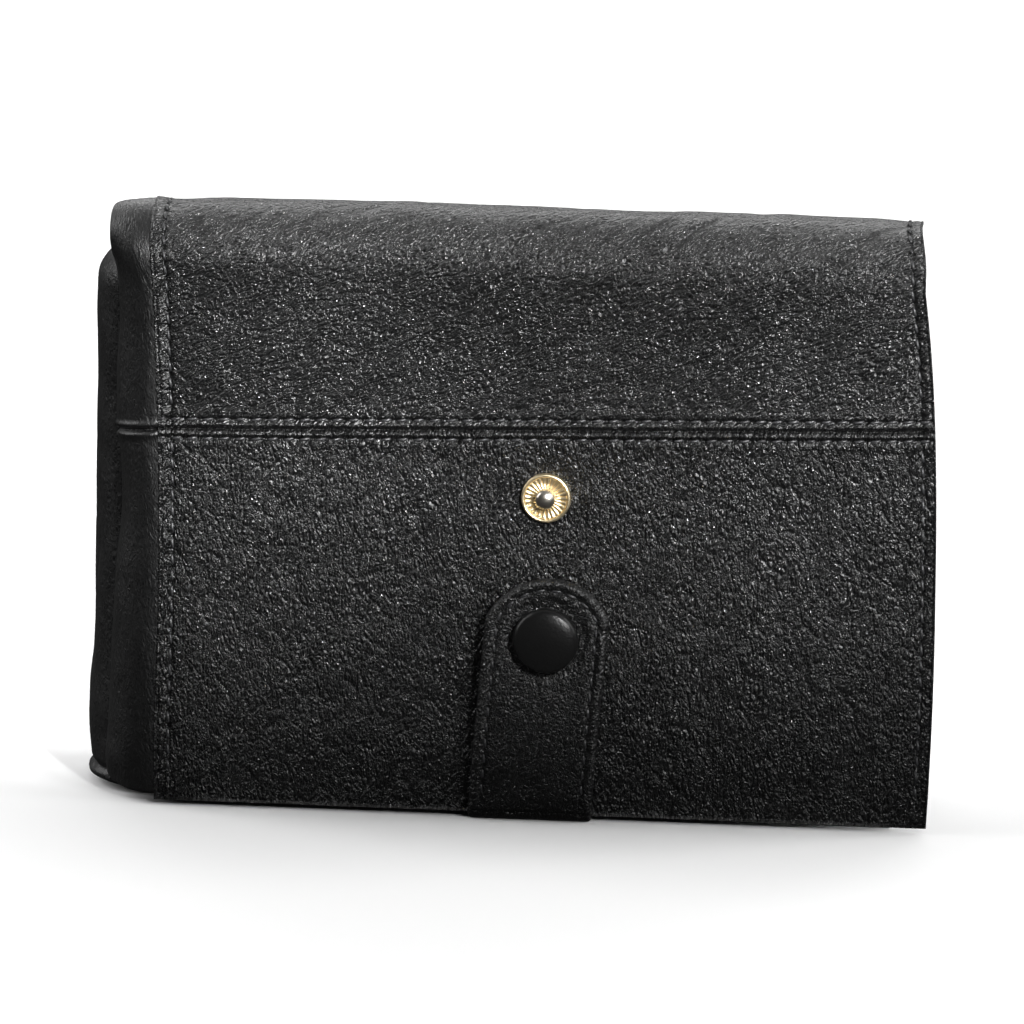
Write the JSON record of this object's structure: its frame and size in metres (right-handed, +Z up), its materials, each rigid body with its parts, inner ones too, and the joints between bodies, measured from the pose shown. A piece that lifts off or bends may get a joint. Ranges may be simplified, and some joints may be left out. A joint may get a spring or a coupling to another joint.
{
  "type": "jewelry case",
  "caption": "Soft black leather jewelry case with a fold-down front lid, a strap that snaps over it, padded ends and a lined inside with ring rolls and compartments.",
  "frame": {"origin": "middle of the underside, at floor level", "axes": "+X to the right along the long front, +Y to the back, +Z up; the lid and its strap face -Y"},
  "size_m": [0.2, 0.068, 0.1405],
  "materials": {
    "black_leather": "semi-gloss natural grain, black",
    "smooth_leather": "smoother black leather, slight sheen",
    "board": "black stiffener board, hidden",
    "suede": "dark grey brushed suede cloth",
    "tape": "woven black tape",
    "gold": "polished gold-coloured brass",
    "pewter": "bright pewter-coloured steel"
  },
  "bodies": {
    "case": {"back_board": "board", "back_cover": "black_leather", "base_board": "board", "base_cover": "black_leather", "divider_main": "suede", "divider_shelf": "suede", "divider_small": "suede", "left_board": "board", "left_cushion": "smooth_leather", "lining_back": "suede", "lining_base": "suede", "lining_left": "suede", "lining_right": "suede", "lining_top": "suede", "right_board": "board", "right_cushion": "smooth_leather", "ring_roll_1": "suede", "ring_roll_2": "suede", "ring_roll_3": "suede", "ring_roll_4": "suede", "ring_roll_5": "suede", "ring_roll_6": "suede", "strap_lining_sewn": "smooth_leather", "strap_outer_sewn": "black_leather", "top_board": "board", "top_border": "smooth_leather", "top_cover": "black_leather"},
    "lid": {"lid_board": "board", "lid_border_lower": "smooth_leather", "lid_border_upper": "smooth_leather", "lid_lining": "suede", "lid_lower": "black_leather", "lid_pocket": "suede", "lid_upper": "black_leather", "seam_tape": "tape", "stud_lower_disc": "gold", "stud_lower_knob": "pewter", "stud_lower_washer": "pewter", "stud_upper_disc": "gold", "stud_upper_knob": "pewter", "stud_upper_washer": "pewter", "zip_tape_lower": "tape", "zip_tape_upper": "tape", "zip_teeth": "gold"},
    "strap": {"strap_outer_tab": "black_leather", "strap_lining_tab": "smooth_leather", "cap_shell": "pewter", "cap_cover": "smooth_leather", "snap_socket": "gold"},
    "zip_slider": {"zip_slider": "gold"},
    "zip_puller": {"zip_puller": "gold"}
  },
  "joints": [
    {"name": "lid_fold", "type": "hinge", "parent": "case", "child": "lid", "pos_m": [0, -0.02375, 0.126], "axis": [-1, 0, 0], "range_deg": [0, 180]},
    {"name": "strap_fold", "type": "hinge", "parent": "case", "child": "strap", "pos_m": [0, -0.0237, 0.00175], "axis": [1, 0, 0], "range_deg": [0, 78], "deforming": ["strap_outer_tab", "strap_lining_tab", "cap_shell", "cap_cover", "snap_socket"]},
    {"name": "zip_slide", "type": "slide", "parent": "lid", "child": "zip_slider", "axis": [1, 0, 0], "range_m": [0, 0.12]},
    {"name": "zip_pull_swing", "type": "hinge", "parent": "zip_slider", "child": "zip_puller", "pos_m": [-0.06, -0.01565, 0.08295], "axis": [1, 0, 0], "range_deg": [0, 90]}
  ]
}
